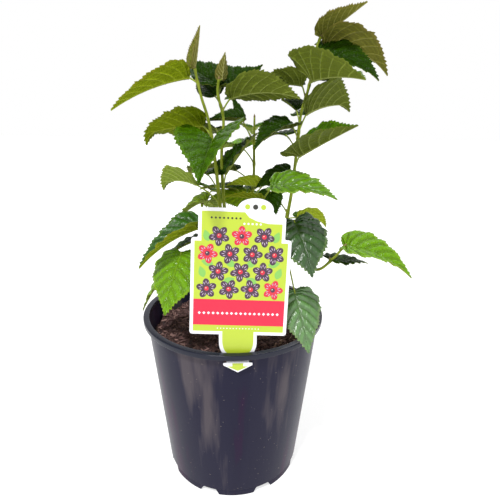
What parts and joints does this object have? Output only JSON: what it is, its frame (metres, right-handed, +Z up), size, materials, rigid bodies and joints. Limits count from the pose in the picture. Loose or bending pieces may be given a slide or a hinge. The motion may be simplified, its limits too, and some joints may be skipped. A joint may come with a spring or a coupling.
{
  "type": "potted mulberry plant",
  "caption": "Young dwarf mulberry with toothed heart-shaped leaves on slender green stems, in a round black nursery pot of potting mix, with a plain plant tag hooked through its wall.",
  "frame": {"origin": "centre of the pot's flat underside, on the ground that it stands on", "axes": "+Z up along the plant; -Y towards the front, where the plant tag hangs; +X to the right of the front view"},
  "size_m": [0.28, 0.2341, 0.4992],
  "materials": {
    "pot_plastic": "semi-gloss black",
    "potting_mix": "damp, rough",
    "tag_card": "printed gloss",
    "bark": "rough",
    "green_stem": "smooth green bark",
    "foliage": "glossy above, matt below"
  },
  "bodies": {
    "root": {"pot": "pot_plastic", "soil": "potting_mix", "plant_tag": "tag_card", "trunk": "bark", "bough_left": "green_stem", "bough_middle": "green_stem", "bough_right": "green_stem", "bough_back": "green_stem", "bough_front": "green_stem", "bough_low_left": "green_stem", "bough_low_right": "green_stem", "bough_rear_left": "green_stem", "bough_rear_right": "green_stem", "leaves_left": "foliage", "leaves_middle": "foliage", "leaves_right": "foliage", "leaves_back": "foliage", "leaves_front": "foliage", "leaves_low_left": "foliage", "leaves_low_right": "foliage", "leaves_rear_left": "foliage", "leaves_rear_right": "foliage"}
  },
  "joints": []
}
